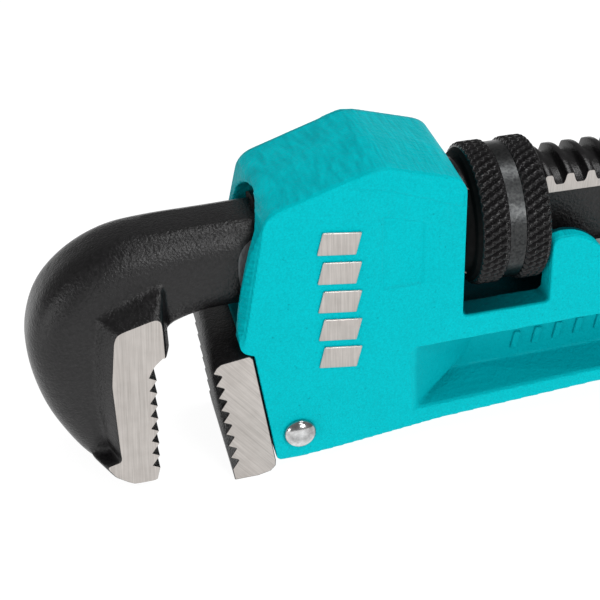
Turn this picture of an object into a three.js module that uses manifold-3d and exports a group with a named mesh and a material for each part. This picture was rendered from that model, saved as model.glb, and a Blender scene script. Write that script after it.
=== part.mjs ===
// Pipe wrench, 300 mm class, jaws set for a small pipe.
// Millimetres, +Z up. X runs along the hook jaw's shank towards the handle's end, and the wrench is
// flat in the XZ plane. Shapes are drawn about the shank's axis, with X = 0 at the nut's front
// knurl, and the group moves them so that the origin is under the middle of the wrench.

import * as THREE from 'three';
import { ConvexGeometry } from 'three/addons/geometries/ConvexGeometry.js';
import { mergeVertices } from 'three/addons/utils/BufferGeometryUtils.js';
import Module from 'manifold-3d';

const wasm = await Module();
wasm.setup();

// ---- Driving dimensions ----
const gap = 0.3;                       // clearance between neighbouring pieces

const castingThickness = 31.7;         // across the housing's flat sides
const tailThickness = 23;              // across the handle's end
const tailCentre = [138, -28.5];
const tailRadius = 15.6;
const tailNeckAngles = [2.112, -2.25]; // radians, where the handle's edges meet the round end
const hangingHoleRadius = 5.5;
const beamWebHalf = 5.5;               // half the web between the handle's side recesses
const tongueHalf = 7.7;                // half the heel jaw's tongue

const threadPitch = 5.08;
const crestRadius = 14.1;
const rootRadius = 12.1;
const crestWidth = 1.4;
const ridgeFootWidth = 4.4;            // at its foot, sunk into the root cylinder
const ridgeFootDepth = 1.5;
const threadPlay = gap + 0.1;          // between the shank's thread and the nut's
const turnSteps = 24;                  // facets in one turn of every thread
const topCrestX = 17.73;               // where a crest passes the top of the shank
const shankWidth = 15.6;               // across the milled sides
const shankStartX = -55;
const threadStartX = -46;
const shankEndX = 66;
const webWidth = 12.6;                 // across the forged hollows in the shank's sides
const webHalfHeight = 7.3;

const nutRadius = 17;
const nutEndX = 16.4;
const nutGroove = [6.5, 10.3];         // smooth band between the two knurled bands
const nutGrooveRadius = 16.3;
const nutHubX = -3.4;
const nutHubRadius = 14.8;

const windowX = [-4.1, 17];
const windowFloorZ = -18.2;
const passageHalfWidth = 10.6;
const passageArchRadius = 14.5;
const passageFloorZ = -19.2;
const pocketFloorZ = -21.5;
const pocketEndX = 39;

const jawHalfWidth = 16;               // the ground cheeks of both jaws
const toothPitch = 3.63;
const heelToothLean = 0.11;            // radians from upright
const hookToothLean = -0.041;
const heelTopTip = [-63.85, -23.54];
const hookTopTip = [-76.76, -22.79];

const pinCentre = [-43.9, -44.5];
const pinRadius = 2.5;
const pinHeadRadius = 3.9;
const pinHeadHeight = 2;
const pinHoleRadius = pinRadius + gap;

const coilX = -44;
const coilRadius = 3.1;
const coilWireRadius = 0.5;
const coilTurns = 5;
const coilPocketRadius = coilRadius + coilWireRadius + 0.5;
const coilPocketFloorZ = -27.5;
const coilTopZ = -15.7;

const leafWidth = 9;
const leafThickness = 0.9;
const leafRivetX = -10;
const leafRivetRadius = 1.5;
const leafHoleRadius = 2.15;           // loose, because the leaf rocks with the shank

const heelBottomZ = -55.8;             // lowest point of the wrench
const hookFrontX = -104.6;             // its foremost point
const tailEndX = tailCentre[0] + tailRadius;

// ---- Solids from three.js geometry ----
function solidOf(geometry) {
  const bare = geometry.index ? geometry.toNonIndexed() : geometry.clone();
  for (const name of Object.keys(bare.attributes)) {
    if (name !== 'position') bare.deleteAttribute(name);
  }
  const welded = mergeVertices(bare, 1e-4);
  const mesh = new wasm.Mesh({
    numProp: 3,
    vertProperties: new Float32Array(welded.attributes.position.array),
    triVerts: new Uint32Array(welded.index.array),
  });
  return new wasm.Manifold(mesh);
}

function geometryOf(solid) {
  const mesh = solid.getMesh();
  const geometry = new THREE.BufferGeometry();
  geometry.setAttribute('position', new THREE.BufferAttribute(new Float32Array(mesh.vertProperties), 3));
  geometry.setIndex(new THREE.BufferAttribute(new Uint32Array(mesh.triVerts), 1));
  geometry.computeVertexNormals();
  return geometry;
}

const shapeOf = (points) => new THREE.Shape(points.map(([a, b]) => new THREE.Vector2(a, b)));

// An outline in the XZ plane, extruded from y0 to y1.
function prismY(outline, y0, y1, curveSegments = 8) {
  const shape = outline instanceof THREE.Shape ? outline : shapeOf(outline);
  const geometry = new THREE.ExtrudeGeometry(shape, { depth: y1 - y0, bevelEnabled: false, curveSegments });
  geometry.rotateX(Math.PI / 2);
  geometry.translate(0, y1, 0);
  return solidOf(geometry);
}

// An outline in the YZ plane, extruded from x0 to x1.
function prismX(outline, x0, x1, curveSegments = 8) {
  const shape = outline instanceof THREE.Shape ? outline : shapeOf(outline);
  const geometry = new THREE.ExtrudeGeometry(shape, { depth: x1 - x0, bevelEnabled: false, curveSegments });
  const turn = new THREE.Matrix4().makeBasis(
    new THREE.Vector3(0, 1, 0), new THREE.Vector3(0, 0, 1), new THREE.Vector3(1, 0, 0));
  geometry.applyMatrix4(turn);
  geometry.translate(x0, 0, 0);
  return solidOf(geometry);
}

function box(x, y, z) {
  const geometry = new THREE.BoxGeometry(x[1] - x[0], y[1] - y[0], z[1] - z[0]);
  geometry.translate((x[0] + x[1]) / 2, (y[0] + y[1]) / 2, (z[0] + z[1]) / 2);
  return solidOf(geometry);
}

// A profile of [radius, height] pairs turned about Y, X or Z through the given centre.
function turned(profile, axis, centre, segments = 32) {
  const points = profile.map(([radius, height]) => new THREE.Vector2(radius, height));
  const geometry = new THREE.LatheGeometry(points, segments);
  if (axis === 'x') geometry.rotateZ(-Math.PI / 2);
  if (axis === 'z') geometry.rotateX(Math.PI / 2);
  geometry.translate(...centre);
  return solidOf(geometry);
}

function rod(radius, from, to, axis, centre, segments = 32) {
  return turned([[0, from], [radius, from], [radius, to], [0, to]], axis, centre, segments);
}

// Closed skin over a row of rings with equal counts of points. A ring's first point sees all its others.
function loft(rings) {
  const count = rings[0].length;
  const positions = rings.flat().flatMap((point) => [point.x, point.y, point.z]);
  const index = [];
  for (let ring = 0; ring < rings.length - 1; ring++) {
    for (let i = 0; i < count; i++) {
      const a = ring * count + i;
      const b = ring * count + ((i + 1) % count);
      index.push(a, b, b + count, a, b + count, a + count);
    }
  }
  const last = (rings.length - 1) * count;
  for (let i = 1; i < count - 1; i++) {
    index.push(0, i + 1, i);
    index.push(last, last + i, last + i + 1);
  }
  const geometry = new THREE.BufferGeometry();
  geometry.setAttribute('position', new THREE.Float32BufferAttribute(positions, 3));
  geometry.setIndex(index);
  return solidOf(geometry);
}

// The ridge of a right-hand thread: a trapezoid carried along the helix about the X axis.
// play makes it larger all round, for the nut.
function threadRidge(fromX, toX, play) {
  const stepX = threadPitch / turnSteps;
  const firstStep = Math.ceil((fromX - topCrestX) / stepX);
  const lastStep = Math.floor((toX - topCrestX) / stepX);
  const footRadius = rootRadius - ridgeFootDepth;
  const topRadius = crestRadius + play;
  const footWidth = ridgeFootWidth + 2 * play;
  const topWidth = crestWidth + 2 * play;
  const rings = [];
  for (let step = firstStep; step <= lastStep; step++) {
    const angle = Math.PI / 2 + (step / turnSteps) * 2 * Math.PI;
    const x = topCrestX + step * stepX;
    const corner = (dx, radius) => new THREE.Vector3(
      x + dx, radius * Math.cos(angle), radius * Math.sin(angle));
    rings.push([
      corner(-footWidth / 2, footRadius),
      corner(footWidth / 2, footRadius),
      corner(topWidth / 2, topRadius),
      corner(-topWidth / 2, topRadius),
    ]);
  }
  return loft(rings);
}

const unionOf = (solids) => solids.reduce((whole, solid) => whole.add(solid));
const cut = (solid, tools) => tools.reduce((rest, tool) => rest.subtract(tool), solid);

// ---- Tooth profiles ----
// Corner points of a row of teeth from the top tip down. bite is the step from a tip to its notch.
function toothRow(topTip, lean, tips, bite, notchFirst) {
  const points = [];
  for (let i = 0; i < tips; i++) {
    const tip = [
      topTip[0] + i * toothPitch * Math.sin(lean),
      topTip[1] - i * toothPitch * Math.cos(lean),
    ];
    const notch = [tip[0] + bite[0], tip[1] + bite[1]];
    if (notchFirst) points.push(notch, tip);
    else points.push(tip, notch);
  }
  return points;
}

// ---- Handle: the housing, the I-beam and the hanging end, one casting ----
function castingOutline() {
  const shape = new THREE.Shape();
  shape.moveTo(-49.7, -51.4);
  shape.lineTo(-54, -20.4);
  shape.quadraticCurveTo(-56.9, -19.8, -57.1, -17.6);
  shape.quadraticCurveTo(-57.3, -11, -53.3, 5.2);
  shape.lineTo(-51, 12.6);
  shape.quadraticCurveTo(-50, 15.9, -46.8, 17);
  shape.lineTo(-27.6, 23.5);
  shape.quadraticCurveTo(-24.85, 24.5, -21.8, 23.7);
  shape.lineTo(-8.4, 19.7);
  shape.quadraticCurveTo(-4.3, 18.4, windowX[0], 15.2);
  shape.lineTo(windowX[0], windowFloorZ + 1.2);
  shape.quadraticCurveTo(windowX[0], windowFloorZ, windowX[0] + 1.2, windowFloorZ);
  shape.lineTo(windowX[1] - 1.2, windowFloorZ + 0.4);
  shape.quadraticCurveTo(windowX[1], windowFloorZ + 0.5, windowX[1], windowFloorZ + 1.6);
  shape.lineTo(windowX[1], -1.9);
  shape.quadraticCurveTo(17.4, -0.3, 20.8, -0.3);
  shape.quadraticCurveTo(25.2, -0.4, 28.8, -4.4);
  shape.lineTo(35, -12.2);
  shape.quadraticCurveTo(39, -17, 46, -17.2);
  shape.lineTo(116, -16.4);
  shape.quadraticCurveTo(124, -15.9,
    tailCentre[0] + tailRadius * Math.cos(tailNeckAngles[0]),
    tailCentre[1] + tailRadius * Math.sin(tailNeckAngles[0]));
  shape.absarc(...tailCentre, tailRadius, ...tailNeckAngles, true);
  shape.quadraticCurveTo(124, -38.8, 114, -39.1);
  shape.lineTo(31.8, -43.6);
  shape.lineTo(-9.1, -47.2);
  shape.lineTo(-34.1, -50.9);
  shape.lineTo(-44.1, -52.1);
  shape.lineTo(-48.9, -52.2);
  return shape;
}

// The shank's way through the housing: arched over the thread, open in front and at the window.
function passageOutline() {
  const springing = Math.sqrt(passageArchRadius ** 2 - passageHalfWidth ** 2);
  const rise = Math.atan2(springing, passageHalfWidth);
  const shape = new THREE.Shape();
  shape.moveTo(-passageHalfWidth + 2.5, passageFloorZ);
  shape.lineTo(passageHalfWidth - 2.5, passageFloorZ);
  shape.lineTo(passageHalfWidth, passageFloorZ + 3);
  shape.lineTo(passageHalfWidth, springing);
  shape.absarc(0, 0, passageArchRadius, rise, Math.PI - rise, false);
  shape.lineTo(-passageHalfWidth, passageFloorZ + 3);
  return shape;
}

// Side recess that leaves the I-beam's web: its outline at the side face and, drawn in, at the web.
function sideRecess(side) {
  const atFace = [
    [-16.8, -31], [-16.8, -26.4], [-15.9, -25], [-2, -24.5], [30, -23.4], [112, -21.2],
    [119.5, -23.5], [122, -28], [119.5, -32.6], [112, -34.4], [31.5, -40.1], [-9.2, -42.9], [-16.2, -43.3],
  ];
  const atWeb = [
    [0.5, -36.4], [2.2, -31], [2.6, -27], [6, -26], [30, -25], [110, -22.9],
    [114, -24.6], [115.5, -28], [114, -31.2], [110, -33.2], [31.5, -39.3], [-2, -40.3], [-6.5, -40.7],
  ];
  const ring = (outline, y) => outline.map(([x, z]) => new THREE.Vector3(x, y, z));
  const out = side * (castingThickness / 2 + 0.01);
  const rings = [ring(atWeb, side * beamWebHalf), ring(atFace, out)];
  if (side < 0) rings.reverse();
  return loft(rings);
}

// What is taken off each side so that the handle gets thinner towards its end.
function sideTaper(side) {
  const outline = [
    [40, side * castingThickness / 2],
    [tailEndX + 1, side * tailThickness / 2],
    [tailEndX + 1, side * (castingThickness / 2 + 2)],
    [40, side * (castingThickness / 2 + 2)],
  ];
  const shape = shapeOf(outline);
  const geometry = new THREE.ExtrudeGeometry(shape, { depth: 60, bevelEnabled: false });
  geometry.translate(0, 0, -60);
  return solidOf(geometry);
}

function pocketOutline() {
  return [[-9.3, pocketFloorZ], [9.3, pocketFloorZ], [9.3, -17.5], [11.2, 1], [-11.2, 1], [-9.3, -17.5]];
}

function makeHandle() {
  const half = castingThickness / 2;
  const casting = prismY(castingOutline(), -half, half, 6);
  return cut(casting, [
    prismX(passageOutline(), -70, windowX[0] + 1, 14),
    prismX(pocketOutline(), windowX[0], pocketEndX),
    sideRecess(-1),
    sideRecess(1),
    sideTaper(-1),
    sideTaper(1),
    rod(hangingHoleRadius, -half - 1, half + 1, 'y', [tailCentre[0] + 2, 0, tailCentre[1]], 28),
    box([-60, -38.2], [-tongueHalf - gap, tongueHalf + gap], [-60, -36.7]),
    rod(pinHoleRadius, -half - 1, half + 1, 'y', [pinCentre[0], 0, pinCentre[1]], 20),
    rod(coilPocketRadius, coilPocketFloorZ, passageFloorZ + 1, 'z', [coilX, 0, 0], 20),
    rod(leafRivetRadius + gap, -24.5, passageFloorZ + 1, 'z', [leafRivetX, 0, 0], 14),
  ]);
}

// ---- Heel jaw: toothed block with a tongue that the pin holds ----
function makeHeelJaw() {
  const front = toothRow(heelTopTip, heelToothLean, 9, [2.05, -1.05], false).slice(0, -1);
  const outline = [
    [-55.1, -20.1], [-55.9, -20.15], [-61.85, -21.1], [-63, -22],
    ...front,
    [-60.2, heelBottomZ], [-54.5, -55.6], [-51.4, -54.8], [-50.1, -53.4], [-50, -51.9], [-54.3, -21],
  ];
  const block = prismY(outline, -jawHalfWidth, jawHalfWidth);
  const tongue = prismY([
    [-54, -37.2], [-41, -37.2], [-38.6, -39.6], [-38.6, -49], [-41, -51.4], [-53, -51.4],
  ], -tongueHalf, tongueHalf);
  const pinHole = rod(pinHoleRadius, -20, 20, 'y', [pinCentre[0], 0, pinCentre[1]], 20);
  return block.add(tongue).subtract(pinHole);
}

function makeHeelJawPin() {
  const base = castingThickness / 2 + gap;
  const dome = [];
  for (let i = 0; i <= 6; i++) {
    const angle = (i / 6) * Math.PI / 2;
    dome.push([pinHeadRadius * Math.cos(angle), base + pinHeadHeight * Math.sin(angle)]);
  }
  dome[dome.length - 1][0] = 0;
  const half = [[pinRadius, base], ...dome];
  const otherHalf = half.map(([radius, height]) => [radius, -height]).reverse();
  return turned([...otherHalf, ...half], 'y', [pinCentre[0], 0, pinCentre[1]], 24);
}

// ---- Hook jaw ----
// Stations along the forging: a point on its outer edge, one on its inner edge, and its half width.
const hookStations = [
  [[-46, 10.3], [-46, -12.4], 9.3],
  [[-62, 9.7], [-62, -13.1], 9.4],
  [[-74.5, 9.3], [-69.3, -14.8], 9.8],
  [[-84.5, 7.8], [-71.6, -16.2], 10.3],
  [[-93.6, 3.2], [-73.2, -18], 10.8],
  [[-100.6, -4], [-74.2, -20], 11.2],
  [[-104.1, -13], [-75.2, -22.5], 11.4],
  [[hookFrontX + 0.1, -21.5], [-76.4, -26], 11.5],
  [[-102.4, -32], [-78, -31.5], 11.3],
  [[-98.6, -40.8], [-79.4, -38], 11],
  [[-94.3, -47.6], [-80.6, -44], 10.6],
  [[-89.6, -51.2], [-82, -49.5], 10],
];

function hookForging() {
  const toCurve = (points) => new THREE.CatmullRomCurve3(
    points.map(([x, z]) => new THREE.Vector3(x, 0, z)), false, 'centripetal');
  const outer = toCurve(hookStations.map((station) => station[0]));
  const inner = toCurve(hookStations.map((station) => station[1]));
  const spans = hookStations.length - 1;
  const ringsPerSpan = 2;
  const squareness = 2.3;              // 2 is an ellipse, more is boxier
  const rings = [];
  for (let i = 0; i <= spans * ringsPerSpan; i++) {
    const t = i / (spans * ringsPerSpan);
    const far = outer.getPoint(t);
    const near = inner.getPoint(t);
    const low = Math.min(Math.floor(t * spans), spans - 1);
    const width = THREE.MathUtils.lerp(hookStations[low][2], hookStations[low + 1][2], t * spans - low);
    const middle = far.clone().add(near).multiplyScalar(0.5);
    const reach = far.clone().sub(near).multiplyScalar(0.5);
    const ring = [];
    for (let k = 0; k < 24; k++) {
      const angle = (k / 24) * 2 * Math.PI;
      const along = Math.sign(Math.cos(angle)) * Math.abs(Math.cos(angle)) ** (2 / squareness);
      const across = Math.sign(Math.sin(angle)) * Math.abs(Math.sin(angle)) ** (2 / squareness);
      ring.push(middle.clone().addScaledVector(reach, along).add(new THREE.Vector3(0, across * width, 0)));
    }
    rings.push(ring);
  }
  return loft(rings);
}

// The boss behind the teeth: ground flat at both cheeks, with sloping forged shoulders.
function hookBoss() {
  const cheek = [
    [-74.3, -9.1], [-74.9, -6.5], [-76.85, -6.2], [-83.8, -9.3], [-85.3, -10.7], [-86.6, -17],
    [-87.4, -21.5], [-86.8, -35], [-86.8, -43], [-89.6, -46.6], [-87.2, -49.8], [-83.85, -52.2],
    [-78.8, -52], [-74.3, -48], [-74.3, -17],
  ];
  const foot = [
    [-72.6, -4], [-84.6, -4.4], [-88.6, -9], [-90.6, -15], [-91.2, -22], [-91, -34], [-92.5, -43],
    [-90.8, -48.2], [-85.4, -51.6], [-78.8, -51.6], [-74, -48], [-72.6, -20],
  ];
  const points = [];
  for (const side of [-1, 1]) {
    for (const [x, z] of cheek) points.push(new THREE.Vector3(x, side * jawHalfWidth, z));
    for (const [x, z] of foot) points.push(new THREE.Vector3(x, side * 10.6, z));
  }
  return solidOf(new ConvexGeometry(points));
}

function makeHookJaw() {
  const shankX = [shankStartX, shankEndX];
  const core = rod(rootRadius, shankX[0] + 6, shankX[1], 'x', [0, 0, 0], turnSteps);
  const ridge = threadRidge(threadStartX, shankX[1] + 4, 0);
  const millSides = [-1, 1].map((side) => box(
    [shankX[0], shankX[1] + 6], side < 0 ? [-20, -shankWidth / 2] : [shankWidth / 2, 20], [-16, 16]));
  const hollow = (side) => prismY([
    [-34, -webHalfHeight + 3], [-34, webHalfHeight - 3], [-31, webHalfHeight], [60, webHalfHeight],
    [62, webHalfHeight - 2], [62, 2 - webHalfHeight], [60, -webHalfHeight], [-31, -webHalfHeight],
  ], ...(side < 0 ? [-12, -webWidth / 2] : [webWidth / 2, 12]));
  const teeth = [
    [-60, -17], [-74.95, -17], [-76.7, -18.6], [-77.35, -19.5],
    ...toothRow(hookTopTip, hookToothLean, 8, [-1.75, 0.9], true),
    [-78.8, -52.02], [-78.8, -56], [-60, -56],
  ];
  const whole = unionOf([hookForging(), hookBoss(), core.add(ridge)]);
  return cut(whole, [
    ...millSides,
    hollow(-1),
    hollow(1),
    box([shankX[1], shankX[1] + 12], [-20, 20], [-20, 20]),
    prismY(teeth, -18, 18),
  ]);
}

// ---- Adjusting nut ----
function makeAdjustingNut() {
  const rim = 0.9;
  const profile = [
    [0, nutHubX], [nutHubRadius, nutHubX], [nutRadius - rim, -rim], [nutRadius, 0],
    [nutRadius, nutGroove[0] - 0.5], [nutGrooveRadius, nutGroove[0]],
    [nutGrooveRadius, nutGroove[1]], [nutRadius, nutGroove[1] + 0.5],
    [nutRadius, nutEndX - rim], [nutRadius - rim, nutEndX], [0, nutEndX],
  ];
  const body = turned(profile, 'x', [0, 0, 0], 40);
  const bore = rod(rootRadius + threadPlay, nutHubX - 1, nutEndX + 1, 'x', [0, 0, 0], turnSteps);
  const thread = threadRidge(nutHubX - 8, nutEndX + 8, threadPlay);
  return cut(body, [bore, thread]);
}

// ---- Springs under the shank ----
function makeFlatSpring() {
  const middle = [[-52.5, -16.3], [-49.5, -15], [-46, -14.9], [-19, -14.9], [-14.5, -17.1], [-6.2, -17.3]];
  const half = leafThickness / 2;
  const outline = [
    ...middle.map(([x, z]) => [x, z + half]),
    ...middle.map(([x, z]) => [x, z - half]).reverse(),
  ];
  const leaf = prismY(outline, -leafWidth / 2, leafWidth / 2);
  return leaf.subtract(rod(leafHoleRadius, -20, -15, 'z', [leafRivetX, 0, 0], 14));
}

function makeFlatSpringRivet() {
  const headUnder = -16.5;
  return turned([
    [0, -24.2], [leafRivetRadius, -24.2], [leafRivetRadius, headUnder], [2.9, headUnder],
    [2.9, headUnder + 0.6], [2, headUnder + 1.2], [0, headUnder + 1.3],
  ], 'z', [leafRivetX, 0, 0], 16);
}

class CoilCurve extends THREE.Curve {
  getPoint(t, target = new THREE.Vector3()) {
    const angle = t * coilTurns * 2 * Math.PI;
    const bottom = coilPocketFloorZ + gap + coilWireRadius;
    const top = coilTopZ - coilWireRadius;
    return target.set(
      coilX + coilRadius * Math.cos(angle),
      coilRadius * Math.sin(angle),
      THREE.MathUtils.lerp(bottom, top, t));
  }
}

function makeCoilSpring() {
  const wire = new THREE.Shape();
  wire.absarc(0, 0, coilWireRadius, 0, 2 * Math.PI, false);
  const geometry = new THREE.ExtrudeGeometry(wire, {
    steps: coilTurns * 12, curveSegments: 3, extrudePath: new CoilCurve(), bevelEnabled: false });
  return solidOf(geometry);
}

// ---- Assembly ----
const finishes = {
  enamel: { color: 0x00bfc8, roughness: 0.45, metalness: 0 },
  blackened: { color: 0x2b2a2b, roughness: 0.5, metalness: 0.6 },
  groundSteel: { color: 0xb9b5b2, roughness: 0.35, metalness: 1 },
  chrome: { color: 0xdddddd, roughness: 0.12, metalness: 1 },
  springSteel: { color: 0x55585c, roughness: 0.35, metalness: 1 },
};

const group = new THREE.Group();
group.position.set(-(hookFrontX + tailEndX) / 2, 0, -heelBottomZ);

function addPart(name, solid, finish) {
  const mesh = new THREE.Mesh(geometryOf(solid), new THREE.MeshStandardMaterial(finish));
  mesh.name = name;
  group.add(mesh);
}

addPart('handle', makeHandle(), finishes.enamel);
addPart('hook_jaw', makeHookJaw(), finishes.blackened);
addPart('heel_jaw', makeHeelJaw(), finishes.blackened);
addPart('heel_jaw_pin', makeHeelJawPin(), finishes.chrome);
addPart('adjusting_nut', makeAdjustingNut(), finishes.blackened);
addPart('flat_spring', makeFlatSpring(), finishes.springSteel);
addPart('flat_spring_rivet', makeFlatSpringRivet(), finishes.groundSteel);
addPart('coil_spring', makeCoilSpring(), finishes.springSteel);

export default group;
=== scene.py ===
import math

import bmesh
import bpy
from mathutils import Matrix, Vector


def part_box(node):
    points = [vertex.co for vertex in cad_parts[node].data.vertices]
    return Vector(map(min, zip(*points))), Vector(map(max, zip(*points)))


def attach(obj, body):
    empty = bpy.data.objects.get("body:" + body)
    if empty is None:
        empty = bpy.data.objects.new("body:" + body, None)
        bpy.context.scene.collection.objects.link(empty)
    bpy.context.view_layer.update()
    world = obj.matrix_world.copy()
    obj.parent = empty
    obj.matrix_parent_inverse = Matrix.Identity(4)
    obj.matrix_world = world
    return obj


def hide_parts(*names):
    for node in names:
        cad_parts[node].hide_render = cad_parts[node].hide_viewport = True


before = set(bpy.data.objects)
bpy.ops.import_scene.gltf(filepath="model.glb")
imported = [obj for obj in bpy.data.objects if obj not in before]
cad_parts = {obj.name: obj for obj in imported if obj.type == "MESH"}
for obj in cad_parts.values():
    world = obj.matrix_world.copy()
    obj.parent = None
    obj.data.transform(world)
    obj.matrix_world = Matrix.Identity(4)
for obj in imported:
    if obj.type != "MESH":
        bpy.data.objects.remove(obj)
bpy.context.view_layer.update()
print("frame loaded:", len(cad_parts), "nodes")

# Pieces are drawn in millimetres about the shank's axis, x = 0 at the nut's front knurl.
nutLow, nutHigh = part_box("adjusting_nut")
nutHubLength = 3.4
shankHeight = (nutLow.z + nutHigh.z) / 2
toFrame = Matrix.Translation((nutLow.x + nutHubLength / 1000, 0, shankHeight)) @ Matrix.Scale(0.001, 4)
toBench = toFrame.inverted()
# turns that lay a cylinder along x or y
alongX, alongY = Matrix.Rotation(math.pi / 2, 4, "Y"), Matrix.Rotation(math.pi / 2, 4, "X")
past = 20  # how far cutting tools reach to either side, past every piece


def pieceFrom(bm, name):
    mesh = bpy.data.meshes.new(name)
    bm.to_mesh(mesh)
    bm.free()
    piece = bpy.data.objects.new(name, mesh)
    bpy.context.scene.collection.objects.link(piece)
    return piece


def bake(piece):
    # the modifiers become the mesh
    graph = bpy.context.evaluated_depsgraph_get()
    finished = bpy.data.meshes.new_from_object(piece.evaluated_get(graph))
    piece.modifiers.clear()
    spent = piece.data
    piece.data = finished
    bpy.data.meshes.remove(spent)


def modify(piece, kind, **settings):
    modifier = piece.modifiers.new(kind.lower(), kind)
    for name, value in settings.items():
        setattr(modifier, name, value)
    bake(piece)


def combine(piece, tool, operation):
    modify(piece, "BOOLEAN", operation=operation, solver="MANIFOLD", object=tool)
    bpy.data.objects.remove(tool)


def thin(piece, triangles):
    # flat stretches lose most of their faces, edges keep theirs
    now = sum(len(face.vertices) - 2 for face in piece.data.polygons)
    modify(piece, "DECIMATE", ratio=min(1, triangles / now))


def reshape(piece, change, *details):
    bm = bmesh.new()
    bm.from_mesh(piece.data)
    change(bm, *details)
    bm.to_mesh(piece.data)
    bm.free()


def relax(bm, times):
    for _ in range(times):
        bmesh.ops.smooth_vert(bm, verts=bm.verts, factor=0.5, use_axis_x=True, use_axis_y=True,
                              use_axis_z=True)


def cleavePlane(bm, centre, normal):
    # cuts off what lies beyond a plane and closes the cut
    geometry = bm.verts[:] + bm.edges[:] + bm.faces[:]
    cut = bmesh.ops.bisect_plane(bm, geom=geometry, plane_co=centre, plane_no=normal, clear_outer=True)
    rim = [item for item in cut["geom_cut"] if isinstance(item, bmesh.types.BMEdge)]
    bmesh.ops.edgeloop_fill(bm, edges=rim)


def prism(outline, near, far, name="tool"):
    # an outline in x and z, drawn out from y = near to y = far
    bm = bmesh.new()
    face = bm.faces.new([bm.verts.new((x, near, z)) for x, z in outline])
    grown = bmesh.ops.extrude_face_region(bm, geom=[face])["geom"]
    moved = [item for item in grown if isinstance(item, bmesh.types.BMVert)]
    bmesh.ops.translate(bm, vec=(0, far - near, 0), verts=moved)
    bmesh.ops.recalc_face_normals(bm, faces=bm.faces)
    return pieceFrom(bm, name)


def cylinder(radius, depth, segments, place, name="tool"):
    bm = bmesh.new()
    bmesh.ops.create_cone(bm, cap_ends=True, segments=segments, radius1=radius, radius2=radius,
                          depth=depth, matrix=place)
    return pieceFrom(bm, name)


def repeat(bm, count, move):
    # copies what bm holds, and hands each copy's number and corners to move
    first = bm.verts[:] + bm.edges[:] + bm.faces[:]
    for index in range(1, count):
        copied = bmesh.ops.duplicate(bm, geom=first)["geom"]
        move(index, [item for item in copied if isinstance(item, bmesh.types.BMVert)])
    bmesh.ops.remove_doubles(bm, verts=bm.verts, dist=0.002)


def outlineEdges(bm, points, closed=True):
    chain = [bm.verts.new(point) for point in points]
    following = chain[1:] + chain[:1] if closed else chain[1:]
    return chain + [bm.edges.new(pair) for pair in zip(chain, following)]


def paint(piece, materials, finish=None, sharpAngle=35):
    # finish gives the number of a face's material
    piece.data.materials.clear()
    for material in materials:
        piece.data.materials.append(material)
    for face in piece.data.polygons:
        face.material_index = finish(face) if finish else 0
        face.use_smooth = True
    piece.data.set_sharp_from_angle(angle=math.radians(sharpAngle))


def finishPiece(piece, body, slot, *nodes):
    piece.data.transform(toFrame)
    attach(piece, body)
    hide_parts(*nodes)
    print("made", piece.name, len(piece.data.polygons), "faces", flush=True)


def linear(hexText):
    parts = [int(hexText[i:i + 2], 16) / 255 for i in (1, 3, 5)]
    return tuple(c / 12.92 if c <= 0.04045 else ((c + 0.055) / 1.055) ** 2.4 for c in parts) + (1,)


def addNode(tree, kind, settings=None, inputs=None):
    node = tree.nodes.new(kind)
    for name, value in (settings or {}).items():
        setattr(node, name, value)
    for key, value in (inputs or {}).items():
        if isinstance(value, bpy.types.NodeSocket):
            tree.links.new(value, node.inputs[key])
        else:
            node.inputs[key].default_value = value
    return node


def newMaterial(name, roughness, metallic=0.0, ior=None, specular=None):
    material = bpy.data.materials.new(name)
    material.use_nodes = True
    tree = material.node_tree
    shader = tree.nodes["Principled BSDF"]
    shader.inputs["Roughness"].default_value = roughness
    shader.inputs["Metallic"].default_value = metallic
    if ior:
        shader.inputs["IOR"].default_value = ior
    if specular is not None:
        shader.inputs["Specular IOR Level"].default_value = specular
    place = addNode(tree, "ShaderNodeTexCoord").outputs["Object"]
    return material, tree, shader, place


def grain(tree, place, sizeMm, detail=3, rough=0.55, stretch=(1, 1, 1), turn=0):
    # an uneven pattern with lumps of sizeMm, which stretch draws out and turn tilts about y, in degrees
    mapped = addNode(tree, "ShaderNodeMapping", {"vector_type": "TEXTURE"}, {
        "Vector": place, "Rotation": (0, math.radians(turn), 0),
        "Scale": tuple(sizeMm / 1000 * s for s in stretch)})
    return addNode(tree, "ShaderNodeTexNoise", {}, {
        "Vector": mapped.outputs[0], "Scale": 1.0, "Detail": detail, "Roughness": rough}).outputs["Fac"]


def twoTone(tree, pattern, low, dark, high, light):
    # dark where the pattern is under low, light where it is over high
    share = addNode(tree, "ShaderNodeMapRange", {}, {"Value": pattern, "From Min": low, "From Max": high})
    return addNode(tree, "ShaderNodeMix", {"data_type": "RGBA"}, {
        "Factor": share.outputs["Result"], "A": linear(dark), "B": linear(light)}).outputs[2]


def within(tree, *limits):
    # 1 where every value is past its inner limit, fading to 0 at its outer one
    share = 1.0
    for value, outer, inner in limits:
        edge = addNode(tree, "ShaderNodeMapRange", {"interpolation_type": "SMOOTHSTEP"}, {
            "Value": value, "From Min": outer, "From Max": inner}).outputs["Result"]
        share = addNode(tree, "ShaderNodeMath", {"operation": "MULTIPLY"}, {0: share, 1: edge}).outputs[0]
    return share


def dress(tree, shader, colour, *relief):
    # the colour, and patterns raised one over the other, each with its depth in millimetres
    tree.links.new(colour, shader.inputs["Base Color"])
    under = {}
    for height, depthMm in relief:
        raised = addNode(tree, "ShaderNodeBump", {}, {
            "Height": height, "Distance": depthMm / 1000, "Strength": 1.0, **under}).outputs[0]
        under = {"Normal": raised}
        tree.links.new(raised, shader.inputs["Normal"])


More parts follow.
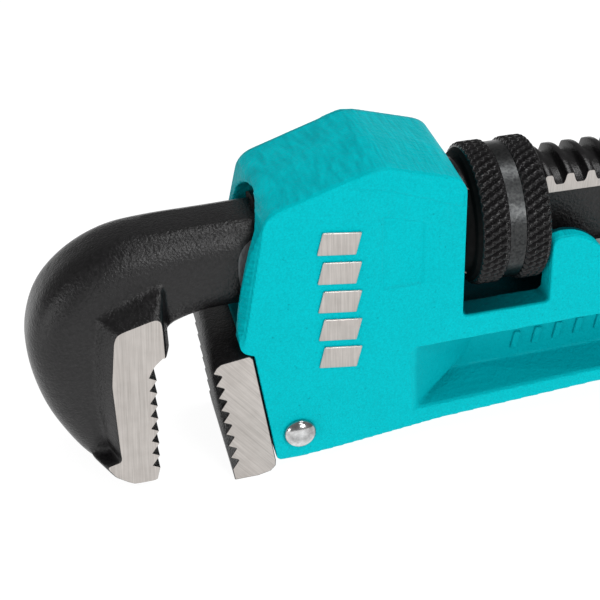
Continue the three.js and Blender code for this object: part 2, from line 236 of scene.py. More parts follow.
def enamelledIron():
    # gloss enamel sprayed on a sand casting: smooth on the flat sides, pitted and dressed with a
    # grinder elsewhere, so the sides shine evenly and the roof is dull and streaked
    material, tree, shader, place = newMaterial("enamel on cast iron", 0.42, ior=1.5, specular=0.03)
    axes = addNode(tree, "ShaderNodeSeparateXYZ", {}, {0: place}).outputs
    across = addNode(tree, "ShaderNodeMath", {"operation": "ABSOLUTE"}, {0: axes["Y"]}).outputs[0]
    offSides = within(tree, (across, 0.0154, 0.0146))
    upper = within(tree, (axes["Z"], 0.036, 0.042))

    broad = twoTone(tree, grain(tree, place, 14, detail=2), 0.3, "#00b3bc", 0.7, "#00b8c1")
    # droplets of the spray, drawn at 0.4 mm to show
    fine = twoTone(tree, grain(tree, place, 0.4, rough=0.7), 0.35, "#009fa8", 0.65, "#00cad4")
    colour = addNode(tree, "ShaderNodeMix", {"data_type": "RGBA"}, {"Factor": 0.4, "A": broad, "B": fine})
    pits = within(tree, (grain(tree, place, 0.9, rough=0.6), 0.36, 0.24))
    specks = addNode(tree, "ShaderNodeMath", {"operation": "MULTIPLY"}, {0: pits, 1: 0.5})
    specked = addNode(tree, "ShaderNodeMix", {"data_type": "RGBA"}, {
        "Factor": specks.outputs[0], "A": colour.outputs[2], "B": linear("#00707c")})

    # the thin coat over the grinder's streaks above, and below it a darker plain teal as painted shade in the
    # hollows and on the edges off the flat sides
    streaks = grain(tree, place, 0.45, stretch=(14, 14, 1), turn=-35)
    thinCoat = twoTone(tree, streaks, 0.3, "#00a9b4", 0.65, "#00c9d3")
    offSideCoatAndShade = addNode(tree, "ShaderNodeMix", {"data_type": "RGBA"}, {
        "Factor": upper, "A": linear("#009fa9"), "B": thinCoat})
    coverage = addNode(tree, "ShaderNodeMath", {"operation": "MULTIPLY"}, {0: offSides, 1: 0.75})
    coatAndShade = addNode(tree, "ShaderNodeMix", {"data_type": "RGBA"}, {
        "Factor": coverage.outputs[0], "A": specked.outputs[2], "B": offSideCoatAndShade.outputs[2]})

    # painted shade: near-black teal laid on the window's floor and in the shank's passage, where shade falls
    windowFloor = within(tree, (axes["X"], -0.0285, -0.0275), (axes["X"], 0.014, 0.012),
                         (axes["Z"], 0.0392, 0.0372), (axes["Z"], 0.0325, 0.0345),
                         (across, 0.0155, 0.0148))
    passageShape = addNode(tree, "ShaderNodeMapping", {"vector_type": "POINT"}, {
        "Vector": place, "Location": (0, 0, -0.82 * shankHeight), "Scale": (0, 1, 0.82)})
    fromShank = addNode(tree, "ShaderNodeVectorMath", {"operation": "LENGTH"}, {0: passageShape.outputs[0]})
    passage = within(tree, (fromShank.outputs["Value"], 0.0128, 0.0122), (axes["X"], -0.0730, -0.0710))
    paintedShade = addNode(tree, "ShaderNodeMath", {"operation": "MAXIMUM"}, {0: windowFloor, 1: passage})
    shadeShare = addNode(tree, "ShaderNodeMath", {"operation": "MULTIPLY"}, {0: paintedShade.outputs[0], 1: 0.93})
    withPaintedShade = addNode(tree, "ShaderNodeMix", {"data_type": "RGBA"}, {
        "Factor": shadeShare.outputs[0], "A": coatAndShade.outputs[2], "B": linear("#001c26")})

    lumps = addNode(tree, "ShaderNodeMath", {"operation": "MULTIPLY"}, {
        0: grain(tree, place, 1.3), 1: offSides})
    ground = addNode(tree, "ShaderNodeMath", {"operation": "MULTIPLY"}, {0: offSides, 1: upper})
    grooves = addNode(tree, "ShaderNodeMath", {"operation": "MULTIPLY"}, {0: streaks, 1: ground.outputs[0]})
    dress(tree, shader, withPaintedShade.outputs[2], (grain(tree, place, 0.5), 0.13), (lumps.outputs[0], 0.3),
          (grooves.outputs[0], 0.16))
    return material


def blackenedForging():
    # black phosphate on a forged skin: charcoal, satin, with lumps from the die and a scaly grain that
    # glint; the grain is drawn at 0.6 mm to show
    material, tree, shader, place = newMaterial("black phosphate on forged steel", 0.3,
                                                ior=1.5, specular=0.38)
    colour = twoTone(tree, grain(tree, place, 0.8, detail=4), 0.35, "#080708", 0.7, "#1a191a")
    dress(tree, shader, colour, (grain(tree, place, 2.4, detail=2), 0.11),
          (grain(tree, place, 0.6, rough=0.6), 0.17))
    return material


def groundSteel(name, turn):
    # bare steel off the grinder: bright, with parallel scratches, drawn 0.3 mm wide to show
    material, tree, shader, place = newMaterial(name, 0.4, metallic=1.0)
    scratches = grain(tree, place, 0.3, rough=0.6, stretch=(1, 1, 45), turn=turn)
    scratched = twoTone(tree, scratches, 0.3, "#a39d98", 0.7, "#c9c3be")
    clouded = twoTone(tree, grain(tree, place, 3, detail=2), 0.3, "#b4afab", 0.7, "#c6c1bd")
    colour = addNode(tree, "ShaderNodeMix", {"data_type": "RGBA"}, {
        "Factor": 0.35, "A": scratched, "B": clouded})
    dress(tree, shader, colour.outputs[2], (scratches, 0.008))
    return material


def chromedSteel():
    # bright chrome plate on a drive pin: mirror-like, faintly cloudy
    material, tree, shader, place = newMaterial("chrome plate", 0.17, metallic=1.0)
    dress(tree, shader, twoTone(tree, grain(tree, place, 2.5), 0.35, "#9c9b9b", 0.65, "#dadada"))
    return material


def blackOxide():
    # black oxide on turned steel: darker and shinier than the forging, its grain drawn at 0.45 mm to show
    material, tree, shader, place = newMaterial("black oxide on turned steel", 0.26, ior=1.5, specular=0.26)
    colour = twoTone(tree, grain(tree, place, 0.8, detail=4), 0.35, "#121112", 0.75, "#1c1b1c")
    dress(tree, shader, colour, (grain(tree, place, 0.45), 0.05))
    return material


def turnedSteel():
    # turned smooth and blackened: a satin band that mirrors the lamps, a little unevenly
    material, tree, shader, place = newMaterial("turned steel under black oxide", 0.34, metallic=1.0)
    colour = twoTone(tree, grain(tree, place, 0.7, detail=4), 0.3, "#2b2c2d", 0.7, "#474848")
    dress(tree, shader, colour, (grain(tree, place, 0.5, detail=2), 0.04))
    return material


def milledRunOut():
    # where the cutter left the forging: grey and dull, with the cutter's lines drawn 0.4 mm wide to show
    material, tree, shader, place = newMaterial("milled steel, lightly blackened", 0.45)
    cutterLines = grain(tree, place, 0.4, detail=4, stretch=(1, 1, 6))
    dress(tree, shader, twoTone(tree, cutterLines, 0.3, "#4a4a4c", 0.7, "#787879"), (cutterLines, 0.05))
    return material


def paintedShadeSteel():
    # black oxide made near-black and dull: painted shade for faces deep in narrow gaps and behind steps
    material, tree, shader, place = newMaterial("dull black oxide, painted shade", 0.75, ior=1.5, specular=0.1)
    dress(tree, shader, twoTone(tree, grain(tree, place, 1.5), 0.3, "#050505", 0.7, "#0e0d0d"))
    return material


def springSteel():
    # blued spring steel: dark, smooth and shiny
    material, tree, shader, place = newMaterial("blued spring steel", 0.3, metallic=1.0)
    dress(tree, shader, twoTone(tree, grain(tree, place, 2), 0.3, "#3f444a", 0.7, "#565c63"))
    return material


enamel = enamelledIron()
phosphate = blackenedForging()
groundUpright = groundSteel("ground steel, upright lines", 3)
groundSlanting = groundSteel("ground steel, slanting lines", -38)
groundMark = groundSteel("ground casting, upright lines", 0)
chrome = chromedSteel()
oxide = blackOxide()
blued = springSteel()
turned = turnedSteel()
runOut = milledRunOut()
paintedShade = paintedShadeSteel()
print("materials ready")


handleSizes = {
    "side": 15.85, "voxel": 0.36, "faceLimit": 185000,
    # leaning bars raised on the near side and ground bright
    "markX": (-38.2, -29.2), "markZ": (-27.8, 10.8), "markCount": 5, "markGap": 2.0, "markHeight": 0.6,
    "markLean": 0.25, "barFall": 0.12, "barEdge": 0.3,
    # short ribs in the hollow of the beam, which climb with it
    "ribX": 13.0, "ribY": -5.5, "ribZ": -34.6, "ribStep": 5.4, "ribClimb": 0.09, "ribCount": 9,
    "ribSize": (1.7, 1.5, 4.6), "ribLean": 0.2,
    # shallow panel beside the window: each edge from where it starts to its full depth
    "panelLeft": (-23.8, -23.4), "panelRight": (-11.5, -11.9), "panelFoot": (-7.4, -6.8),
    "panelTop": 12.2, "panelFrom": -23.5, "panelFall": 0.3, "panelDepth": 0.5,
    "stepX": (-14.3, -13.7), "stepBack": 0.35,
    # welt under the roof's edge
    "weltTop": [(-30.5, 22.6), (-25.3, 24.2), (-18.1, 21.9), (-11.8, 19.3), (-10.7, 17.7), (-4.7, 15.4)],
    "weltFoot": [(-30.5, 20.2), (-24.9, 19.3), (-21.7, 18.4), (-12.5, 15), (-9.9, 13.7), (-4.7, 12)],
    "weltHeight": 0.45,
    # slanting strip dressed on the front corners
    "cornerX": -53.0, "cornerLean": 0.18, "cornerSlope": 2.3, "cornerFoot": (-20, -13), "cornerTop": (20, 17),
    "farRoofFall": 0.05,
}


def bars(middles, size, lean, name):
    # plain bevelled bars, sheared to lean
    bm = bmesh.new()
    fall = handleSizes["barFall"]
    for middle in middles:
        bar = bmesh.ops.create_cube(bm, size=1)["verts"]
        bmesh.ops.scale(bm, vec=size, verts=bar)
        shear = Matrix(((1, 0, lean, 0), (0, 1, 0, 0), (-fall, 0, 1, 0), (0, 0, 0, 1)))
        bmesh.ops.transform(bm, matrix=shear, verts=bar)
        bmesh.ops.translate(bm, vec=middle, verts=bar)
    bmesh.ops.bevel(bm, geom=bm.edges[:], offset=handleSizes["barEdge"], segments=3, profile=0.5,
                    affect="EDGES", material=-1)
    return pieceFrom(bm, name)


def sideMarks():
    sizes = handleSizes
    low, high = sizes["markZ"]
    left, right = sizes["markX"]
    step = (high - low) / sizes["markCount"]
    middles = [((left + right) / 2, -sizes["side"], low + step * (i + 0.5))
               for i in range(sizes["markCount"])]
    size = (right - left, 2 * sizes["markHeight"], step - sizes["markGap"])
    return bars(middles, size, sizes["markLean"], "marks")


def beamRibs():
    sizes = handleSizes
    middles = [(sizes["ribX"] + i * sizes["ribStep"], sizes["ribY"],
                sizes["ribZ"] + sizes["ribClimb"] * i * sizes["ribStep"]) for i in range(sizes["ribCount"])]
    return bars(middles, sizes["ribSize"], sizes["ribLean"], "ribs")


def rise(value, start, full):
    # 0 before start, 1 past full, smooth between
    t = min(max((value - start) / (full - start), 0), 1)
    return t * t * (3 - 2 * t)


def lineHeight(line, x):
    for (x1, z1), (x2, z2) in zip(line, line[1:]):
        if x <= x2:
            return z1 + (z2 - z1) * (x - x1) / (x2 - x1)
    return line[-1][1]


def castSurface(bm):
    sizes = handleSizes
    side = sizes["side"]
    for vert in bm.verts:
        x, y, z = vert.co
        if abs(y) > side - 1 and x < -5:  # the housing's flat sides
            top = sizes["panelTop"] - sizes["panelFall"] * (x - sizes["panelFrom"])
            panel = rise(x, *sizes["panelLeft"]) * rise(top - z, 0, 0.4) * rise(z, *sizes["panelFoot"])
            panel *= rise(x, *sizes["panelRight"])
            step = rise(x, *sizes["stepX"])
            weltTop, weltFoot = lineHeight(sizes["weltTop"], x), lineHeight(sizes["weltFoot"], x)
            welt = rise(z, weltFoot - 0.2, weltFoot + 0.2) * rise(weltTop - z, -0.3, 0.4) * rise(x, -31, -29)
            sunk = abs(y) - sizes["panelDepth"] * panel + sizes["stepBack"] * panel * step
            vert.co.y = math.copysign(sunk + sizes["weltHeight"] * welt, y)
        corner = sizes["cornerX"] + sizes["cornerLean"] * z
        if x < corner and z > sizes["cornerFoot"][0]:
            fade = rise(z, *sizes["cornerFoot"]) * rise(z, *sizes["cornerTop"])
            strip = side - sizes["cornerSlope"] * (corner - x) * fade
            vert.co.y = math.copysign(min(abs(vert.co.y), strip), y)
        if y > 0 and z > 2:  # the roof is lower on the far side
            vert.co.z -= sizes["farRoofFall"] * y


def makeHandle():
    sizes = handleSizes
    bm = bmesh.new()
    bm.from_mesh(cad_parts["handle"].data)
    bmesh.ops.transform(bm, matrix=toBench, verts=bm.verts)
    bmesh.ops.remove_doubles(bm, verts=bm.verts, dist=0.001)
    pattern = pieceFrom(bm.copy(), "pattern")
    piece = pieceFrom(bm, "handle_casting")
    # fine even faces with soft edges, drawn back to the exact shape
    modify(piece, "REMESH", mode="VOXEL", voxel_size=sizes["voxel"])
    reshape(piece, relax, 3)
    modify(piece, "SHRINKWRAP", target=pattern)
    bpy.data.objects.remove(pattern)
    reshape(piece, relax, 2)
    reshape(piece, castSurface)
    thin(piece, sizes["faceLimit"])
    combine(piece, sideMarks(), "UNION")
    combine(piece, beamRibs(), "UNION")
    markTop = -sizes["side"] - sizes["markHeight"] + 0.25
    left, right = sizes["markX"]

    def finish(face):
        # the bars lean up to 3 mm past their width
        inMark = face.center.y < markTop and left - 3 < face.center.x < right + 3
        return 1 if inMark and face.center.z < sizes["markZ"][1] + 1 else 0

    paint(piece, (enamel, groundMark), finish, 32)
    finishPiece(piece, "handle", "enamel", "handle")


hookSizes = {
    "ringPoints": 48, "ringsPerSpan": 4, "squareness": 3.0, "voxel": 0.5, "cheek": 16.0,
    # outer edge, inner edge and half width, from inside the housing round to the jaw's tip
    "stations": [
        ((-44, 10.3), (-44, -12.4), 9.3),
        ((-62, 9.7), (-62, -13.1), 9.4),
        ((-74.5, 9.3), (-69.3, -14.8), 9.8),
        ((-84.5, 7.8), (-71.6, -16.2), 10.3),
        ((-93.6, 3.2), (-73.2, -18), 10.8),
        ((-100.6, -4), (-74.2, -20), 11.2),
        ((-104.1, -13), (-75.2, -22.5), 11.4),
        ((-104.5, -21.5), (-76.4, -26), 11.5),
        ((-102.4, -32), (-78, -31.5), 11.3),
        ((-98.6, -40.8), (-79.4, -38), 11),
        ((-94.3, -47.6), (-80.6, -44), 10.6),
        ((-89.6, -51.2), (-82, -49.5), 10),
    ],
    # the jaw's boss in two lumps, each an outline at the cheek and one where it meets the arm
    "bossLumps": [
        ([(-74.3, -9.7), (-74.5, -7.3), (-76, -6.4), (-84.3, -8.8), (-85.2, -10.5), (-86.7, -22.8),
          (-86.2, -36), (-86.4, -44.5), (-84, -52.2), (-78.8, -52), (-74.3, -48)],
         [(-73, -1.6), (-82.2, -4.8), (-87, -6.4), (-88.7, -7.4), (-90.7, -15.8), (-91.4, -24.5),
          (-90.5, -33.8), (-90.2, -38), (-88, -46), (-82, -51.6), (-78.8, -51.6), (-74, -48), (-72.6, -20)]),
        ([(-90.4, -45.6), (-87.5, -44.9), (-84, -46), (-84, -52.2), (-88.2, -49.2)],
         [(-93.4, -45.2), (-86, -44), (-84, -51.6), (-89.8, -50.8)]),
    ],
    "bossFoot": 10.8,
    # what the grinder takes off the arm's top
    "armTop": [(-75.2, 8.95), (-62, 9.35), (-40, 9.95), (-40, 14), (-75.2, 14)],
    # the toothed face: what is cut away above the first tooth, the teeth, and below the last
    "throat": [(-60, -17), (-74.95, -17), (-76.7, -18.6), (-77.35, -19.5)],
    "teeth": 8, "toothPitch": 3.63, "toothLean": -0.041, "topTip": (-76.76, -22.79), "bite": (-1.75, 0.9),
    "jawFoot": [(-78.8, -52.02), (-78.8, -58), (-60, -58)],
    # shank: the ridge's section in half widths and radii, five turns to the inch
    "threadPitch": 5.08, "turnSteps": 64, "root": 12.1, "crestX": 17.73,
    "ridge": [(2.3, 10.5), (1.72, 12.1), (1.42, 12.35), (1.16, 12.85), (0.86, 13.8), (0.7, 14.03),
              (0.5, 14.1)],
    "shankFrom": -46, "shankTo": 66, "coreFrom": -50,
    # the flat sides, the web between them, and the round run-out of the side mill
    "millHalf": 7.8, "webHalf": 6.3, "cutterRadius": 22, "cutterX": -47.5,
    "web": [(-34, -4.3), (-34, 4.3), (-31, 7.3), (60, 7.3), (62, 5.3), (62, -5.3), (60, -7.3), (-31, -7.3)],
}


def smoothBetween(values, place):
    # a smooth curve through values, which are numbers or vectors, at place counted in spans
    last = len(values) - 1
    span = min(int(place), last - 1)
    t = place - span
    before, start = values[max(span - 1, 0)], values[span]
    end, after = values[span + 1], values[min(span + 2, last)]
    leaving, arriving = (end - before) * 0.5, (after - start) * 0.5
    return (start * (2 * t**3 - 3 * t**2 + 1) + leaving * (t**3 - 2 * t**2 + t)
            + end * (3 * t**2 - 2 * t**3) + arriving * (t**3 - t**2))


def nextRing(bm, ring):
    # extrudes a ring's edges, and gives the new corners in the ring's order
    near = set(edge for vert in ring for edge in vert.link_edges)
    edges = [edge for edge in near if edge.verts[0] in ring and edge.verts[1] in ring]
    grown = bmesh.ops.extrude_edge_only(bm, edges=edges)["geom"]
    following = [None] * len(ring)
    for vert in grown:
        if isinstance(vert, bmesh.types.BMVert):
            for edge in vert.link_edges:
                if edge.other_vert(vert) in ring:
                    following[ring.index(edge.other_vert(vert))] = vert
    return following


def forgedArm(bm):
    # a rounded ring drawn out and shaped through the stations
    stations = hookSizes["stations"]
    outer = [Vector((far[0], 0, far[1])) for far, near, half in stations]
    inner = [Vector((near[0], 0, near[1])) for far, near, half in stations]
    halves = [half for far, near, half in stations]
    power = 2 / hookSizes["squareness"]
    ring = bmesh.ops.create_circle(bm, segments=hookSizes["ringPoints"], radius=1, cap_ends=True)["verts"]
    for index in range((len(stations) - 1) * hookSizes["ringsPerSpan"] + 1):
        place = index / hookSizes["ringsPerSpan"]
        far, near, half = [smoothBetween(values, place) for values in (outer, inner, halves)]
        if index:
            ring = nextRing(bm, ring)
        for number, vert in enumerate(ring):
            angle = 2 * math.pi * number / len(ring)
            c, s = math.cos(angle), math.sin(angle)
            along = math.copysign(abs(c) ** power, c)
            across = math.copysign(abs(s) ** power, s)
            vert.co = (far + near) / 2 + (far - near) / 2 * along + Vector((0, across * half, 0))
    bm.faces.new(ring)


def jawBoss(bm):
    for cheek, foot in hookSizes["bossLumps"]:
        points = []
        for side in (-1, 1):
            points += [bm.verts.new((x, side * (hookSizes["cheek"] + 0.4), z)) for x, z in cheek]
            points += [bm.verts.new((x, side * hookSizes["bossFoot"], z)) for x, z in foot]
        bmesh.ops.convex_hull(bm, input=points)
        loose = [vert for vert in points if vert.is_valid and not vert.link_faces]
        bmesh.ops.delete(bm, geom=loose, context="VERTS")


def toothTips(sizes):
    (x, z), lean, pitch = sizes["topTip"], sizes["toothLean"], sizes["toothPitch"]
    return [(x + i * pitch * math.sin(lean), z - i * pitch * math.cos(lean)) for i in range(sizes["teeth"])]


def toothCutter():
    sizes = hookSizes
    outline = list(sizes["throat"])
    for x, z in toothTips(sizes):
        outline += [(x + sizes["bite"][0], z + sizes["bite"][1]), (x, z)]
    return prism(outline + sizes["jawFoot"], -past, past)


def threadedShank():
    sizes = hookSizes
    pitch, steps, end = sizes["threadPitch"], sizes["turnSteps"], sizes["shankTo"]
    profile = sizes["ridge"] + [(-x, r) for x, r in reversed(sizes["ridge"])]
    turns = math.ceil((end - sizes["shankFrom"]) / pitch) + 1
    start = sizes["crestX"] - math.ceil((sizes["crestX"] - sizes["shankFrom"]) / pitch) * pitch
    bm = bmesh.new()
    section = outlineEdges(bm, [(start + x, 0, r) for x, r in profile])
    bmesh.ops.spin(bm, geom=section, cent=(0, 0, 0), axis=(1, 0, 0), dvec=(pitch / steps, 0, 0),
                   angle=2 * math.pi, steps=steps)
    repeat(bm, turns, lambda index, verts: bmesh.ops.translate(bm, vec=(index * pitch, 0, 0), verts=verts))
    bmesh.ops.holes_fill(bm, edges=[edge for edge in bm.edges if edge.is_boundary], sides=0)
    bmesh.ops.recalc_face_normals(bm, faces=bm.faces)
    # the core is 6 mm too long, and both are cut off square
    length = end + 6 - sizes["coreFrom"]
    middle = Matrix.Translation(((end + 6 + sizes["coreFrom"]) / 2, 0, 0))
    piece = cylinder(sizes["root"], length, steps, middle @ alongX, "shank")
    combine(piece, pieceFrom(bm, "ridge"), "UNION")
    reshape(piece, cleavePlane, (end, 0, 0), (1, 0, 0))
    for side in (-1, 1):
        reshape(piece, cleavePlane, (0, side * sizes["millHalf"], 0), (0, side, 0))
        reach = sorted((side * sizes["webHalf"], side * past))
        combine(piece, prism(sizes["web"], *reach), "DIFFERENCE")
    return piece


def makeHookJaw():
    sizes = hookSizes
    bm = bmesh.new()
    forgedArm(bm)
    bmesh.ops.recalc_face_normals(bm, faces=bm.faces)
    jawBoss(bm)
    piece = pieceFrom(bm, "hook_jaw_forging")
    modify(piece, "REMESH", mode="VOXEL", voxel_size=sizes["voxel"])
    reshape(piece, relax, 8)
    for side in (-1, 1):
        reshape(piece, cleavePlane, (0, side * sizes["cheek"], 0), (0, side, 0))
    combine(piece, toothCutter(), "DIFFERENCE")
    combine(piece, prism(sizes["armTop"], -past, past), "DIFFERENCE")
    combine(piece, threadedShank(), "UNION")
    for side in (-1, 1):
        # the side mill leaves a round run-out where the arm begins
        place = (sizes["cutterX"], side * (sizes["millHalf"] + sizes["cutterRadius"]), 0)
        combine(piece, cylinder(sizes["cutterRadius"], 2 * past, 160, Matrix.Translation(place)), "DIFFERENCE")

    def finish(face):
        # the arm ends and the thread begins near x = -46
        (x, y, z), normal = face.center, face.normal
        away = math.hypot(y, z)
        if -52 < x < -44 and normal.x < -0.3 and away > 9.8:
            # painted shade: the step up to the thread takes the near-black dull material
            return 4  # the step up to the thread
        flat = abs(normal.y) > 0.995
        onCheek = flat and abs(y) > sizes["cheek"] - 0.05
        onStrip = flat and x > -46 and abs(abs(y) - sizes["millHalf"]) < 0.05
        if onCheek or onStrip:
            return 1
        if -60 < x < -46 and 7.9 < abs(y) < 9.9 and normal.x > 0.02 and abs(normal.z) < 0.02:
            return 2
        return 3 if x > -40 and away > 11.5 else 0

    paint(piece, (phosphate, groundUpright, runOut, oxide, paintedShade), finish)
    finishPiece(piece, "hook_jaw", "blackened_steel", "hook_jaw")


heelSizes = {
    "cheek": 16.0, "edge": 0.18, "tongueHalf": 7.7, "holeRadius": 2.8, "hole": (-43.9, 0, -44.5),
    "teeth": 9, "toothPitch": 3.63, "toothLean": 0.11, "topTip": (-63.85, -23.54), "bite": (2.05, -1.05),
    "top": [(-55.1, -20.1), (-55.9, -20.15), (-61.85, -21.1), (-63, -22)],
    "back": [(-60.2, -55.8), (-54.5, -55.6), (-51.4, -54.8), (-50.1, -53.4), (-50, -51.9), (-54.3, -21)],
    "tongue": [(-54, -37.2), (-41, -37.2), (-38.6, -39.6), (-38.6, -49), (-41, -51.4), (-53, -51.4)],
}


def makeHeelJaw():
    sizes = heelSizes
    outline = list(sizes["top"])
    for x, z in toothTips(sizes):
        outline += [(x, z), (x + sizes["bite"][0], z + sizes["bite"][1])]
    outline = outline[:-1] + sizes["back"]
    piece = prism(outline, -sizes["cheek"], sizes["cheek"], "heel_jaw_block")
    modify(piece, "BEVEL", width=sizes["edge"], segments=2, profile=0.5, limit_method="ANGLE",
           angle_limit=math.radians(35), miter_outer="MITER_ARC", harden_normals=False)
    combine(piece, prism(sizes["tongue"], -sizes["tongueHalf"], sizes["tongueHalf"]), "UNION")
    place = Matrix.Translation(sizes["hole"]) @ alongY
    combine(piece, cylinder(sizes["holeRadius"], 2 * past, 48, place), "DIFFERENCE")

    def finish(face):
        return 1 if abs(face.normal.y) > 0.995 and abs(face.center.y) > sizes["cheek"] - 0.05 else 0

    paint(piece, (phosphate, groundSlanting), finish)
    finishPiece(piece, "handle", "blackened_jaw", "heel_jaw")


nutSizes = {
    "radius": 17.0, "corner": 1.1, "bands": ((0.0, 6.5), (10.3, 16.4)), "grooveRadius": 16.2,
    "hubX": -3.4, "hubRadius": 13.6, "bore": 12.5, "knurls": 51, "stepsEach": 14, "grain": 0.18,
    # the knurl: how far its grooves lean in degrees, and how narrow and deep they and the crossing ones are
    "lean": 31, "depth": 0.85, "narrow": 1.5, "crossNarrow": 1.9, "crossDepth": 0.45,
}


def knurlProfile(start, stop):
    # along one band and round both of its corners
    radius, corner = nutSizes["radius"], nutSizes["corner"]
    count = round((stop - start - 2 * corner) / nutSizes["grain"])
    points = []
    for index in range(7):
        angle = math.pi / 2 * index / 6
        points.append((radius - corner + corner * math.sin(angle), start + corner - corner * math.cos(angle)))
    for index in range(1, count):
        points.append((radius, start + corner + (stop - start - 2 * corner) * index / count))
    return points + [(r, start + stop - x) for r, x in reversed(points[:7])]


def pressKnurl(bm):
    # slanting grooves crossed by shallower ones, all fading out at a band's edges
    sizes = nutSizes
    slope = math.tan(math.radians(sizes["lean"]))
    for vert in bm.verts:
        away = math.hypot(vert.co.y, vert.co.z)
        inBand = [min(vert.co.x - low, high - vert.co.x) for low, high in sizes["bands"]
                  if low < vert.co.x < high and away > sizes["radius"] - sizes["corner"] * 0.99]
        if not inBand:
            continue
        turn = math.atan2(vert.co.z, vert.co.y) / (2 * math.pi)
        drift = vert.co.x * slope / (2 * math.pi * sizes["radius"])
        rising = abs((sizes["knurls"] * (turn + drift)) % 1 - 0.5) * 2
        falling = abs((sizes["knurls"] * (turn - drift)) % 1 - 0.5) * 2
        sunk = max(1 - (1 - rising) * sizes["narrow"],
                   (1 - (1 - falling) * sizes["crossNarrow"]) * sizes["crossDepth"], 0)
        factor = 1 - sizes["depth"] * sunk * min(inBand[0] / 0.5, 1) / away
        vert.co.y *= factor
        vert.co.z *= factor


def makeAdjustingNut():
    sizes = nutSizes
    first, second = [knurlProfile(*band) for band in sizes["bands"]]
    bore, hub, hubX = sizes["bore"], sizes["hubRadius"], sizes["hubX"]
    grooveStart, (grooveEnd, bandEnd) = sizes["bands"][0][1], sizes["bands"][1]
    # radius and x, from the bore over the hub, the bands and the groove, and back to the bore
    profile = [(bore, hubX + 0.6), (bore + 0.5, hubX), (hub - 0.3, hubX), (hub, hubX + 0.3), (hub, -1.2),
               (hub + 0.3, -0.9), (15.1, -0.9), (15.3, -0.8)] + first
    profile += [(sizes["grooveRadius"], grooveStart), (sizes["grooveRadius"], grooveEnd)] + second
    profile += [(bore + 0.6, bandEnd), (bore, bandEnd - 0.6)]
    bm = bmesh.new()
    sector = 2 * math.pi / sizes["knurls"]
    bmesh.ops.spin(bm, geom=outlineEdges(bm, [(x, 0, r) for r, x in profile]), cent=(0, 0, 0), axis=(1, 0, 0),
                   angle=sector, steps=sizes["stepsEach"])
    repeat(bm, sizes["knurls"], lambda index, verts: bmesh.ops.rotate(
        bm, cent=(0, 0, 0), matrix=Matrix.Rotation(index * sector, 3, "X"), verts=verts))
    bmesh.ops.recalc_face_normals(bm, faces=bm.faces)
    pressKnurl(bm)
    piece = pieceFrom(bm, "adjusting_nut_knurled")

    def finish(face):
        x, away = face.center.x, math.hypot(face.center.y, face.center.z)
        if grooveStart < x < grooveEnd and away > 15:
            return 1
        # painted shade: the hub in the narrow gap beside the housing takes the near-black dull material
        return 2 if x < 0.2 and away < 15.9 else 0

    paint(piece, (oxide, turned, paintedShade), finish, 50)
    finishPiece(piece, "adjusting_nut", "blackened_nut", "adjusting_nut")


pinSizes = {"centre": (-43.9, 0, -44.5), "radius": 2.5, "headRadius": 3.9, "headHeight": 2.0, "base": 16.15}


def makePin():
    # a drive pin with a dome at each end
    sizes = pinSizes
    half = [(sizes["radius"], sizes["base"]), (sizes["headRadius"], sizes["base"])]
    for index in range(1, 17):
        angle = index / 16 * math.pi / 2
        half.append((sizes["headRadius"] * math.cos(angle),
                     sizes["base"] + sizes["headHeight"] * math.sin(angle)))
    profile = [(r, -y) for r, y in reversed(half)] + half
    bm = bmesh.new()
    section = outlineEdges(bm, [(r, y, 0) for r, y in profile], closed=False)
    bmesh.ops.spin(bm, geom=section, cent=(0, 0, 0), axis=(0, 1, 0), angle=2 * math.pi, steps=64,
                   use_merge=True)
    bmesh.ops.remove_doubles(bm, verts=bm.verts, dist=0.001)
    bmesh.ops.recalc_face_normals(bm, faces=bm.faces)
    bmesh.ops.translate(bm, vec=sizes["centre"], verts=bm.verts)
    piece = pieceFrom(bm, "heel_jaw_pin_domed")
    paint(piece, (chrome,), sharpAngle=50)
    finishPiece(piece, "handle", "chrome", "heel_jaw_pin")


makeHandle()
makeHookJaw()
makeHeelJaw()
makeAdjustingNut()
makePin()

# the springs and the rivet keep their exact shape
innerFinish = {"flat_spring": blued, "flat_spring_rivet": groundUpright, "coil_spring": blued}
for name, material in innerFinish.items():
    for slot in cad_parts[name].material_slots:
        slot.material = material
    print("finished", name, len(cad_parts[name].material_slots), "slot")

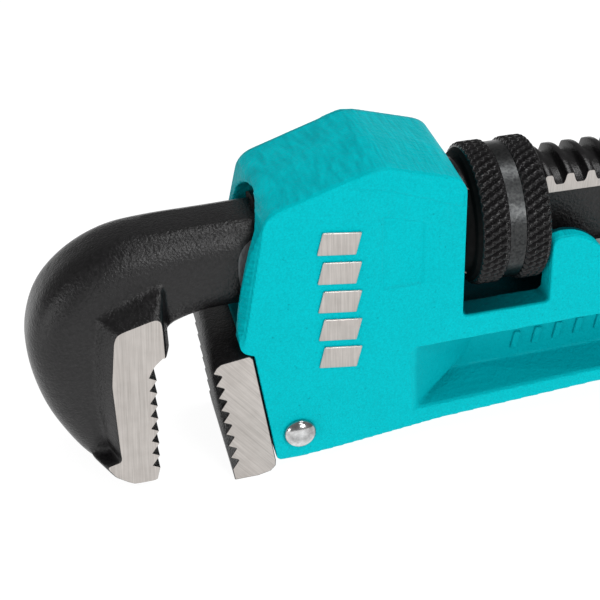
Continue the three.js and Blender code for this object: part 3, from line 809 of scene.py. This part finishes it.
studio = {
    "target": (-0.0647, 0, 0.0389), "distance": 0.3812, "azimuth": -11.8, "elevation": 33.95, "roll": -1.76,
    "lens": 96.44, "shiftX": 0.0043, "shiftY": -0.0035, "skyStrength": 0.27,
    # place, diameter and power of each softbox
    "softboxes": {
        "front softbox": ((0.25, -0.92, 0.45), 0.4, 4.2),
        "shoulder softbox": ((0.1, -0.5, 0.72), 0.2, 1.2),
        "left softbox": ((-0.8, -0.38, 0.14), 0.22, 0.9),
        "top softbox": ((0.15, 0.02, 0.8), 0.3, 2.0),
    },
}


def makeFloor():
    bm = bmesh.new()
    bmesh.ops.create_grid(bm, x_segments=1, y_segments=1, size=4)
    floor = pieceFrom(bm, "floor")
    # painted board that glows a little, so it shows nearly white
    material, tree, shader, place = newMaterial("pale floor", 0.9)
    shader.inputs["Base Color"].default_value = linear("#6a6a6a")
    shader.inputs["Emission Color"].default_value = (1, 1, 1, 1)
    shader.inputs["Emission Strength"].default_value = 0.95
    floor.data.materials.append(material)


def addLamp(name, spot, size, power):
    lamp = bpy.data.lights.new(name, "AREA")
    lamp.shape = "DISK"
    lamp.size = size
    lamp.energy = power
    holder = bpy.data.objects.new(name, lamp)
    holder.location = spot
    holder.rotation_mode = "QUATERNION"
    holder.rotation_quaternion = (Vector(studio["target"]) - Vector(spot)).to_track_quat("-Z", "Y")
    bpy.context.scene.collection.objects.link(holder)


def makeCamera():
    data = bpy.data.cameras.new("camera")
    data.lens = studio["lens"]
    data.shift_x = studio["shiftX"]
    data.shift_y = studio["shiftY"]
    data.clip_start = 0.01
    around, up = math.radians(studio["azimuth"]), math.radians(studio["elevation"])
    back = Vector((math.sin(around) * math.cos(up), -math.cos(around) * math.cos(up), math.sin(up)))
    camera = bpy.data.objects.new("camera", data)
    camera.rotation_mode = "QUATERNION"
    camera.location = Vector(studio["target"]) + back * studio["distance"]
    camera.rotation_quaternion = (-back).to_track_quat("-Z", "Y") @ Matrix.Rotation(
        math.radians(studio["roll"]), 3, "Z").to_quaternion()
    bpy.context.scene.collection.objects.link(camera)
    bpy.context.scene.camera = camera


makeFloor()
for name, (spot, size, power) in studio["softboxes"].items():
    addLamp(name, spot, size, power)
world = bpy.data.worlds.new("studio")
bpy.context.scene.world = world
world.use_nodes = True
world.node_tree.nodes["Background"].inputs["Color"].default_value = (1, 1, 1, 1)
world.node_tree.nodes["Background"].inputs["Strength"].default_value = studio["skyStrength"]
bpy.context.scene.view_settings.view_transform = "Standard"
makeCamera()
print("floor, light and camera ready")
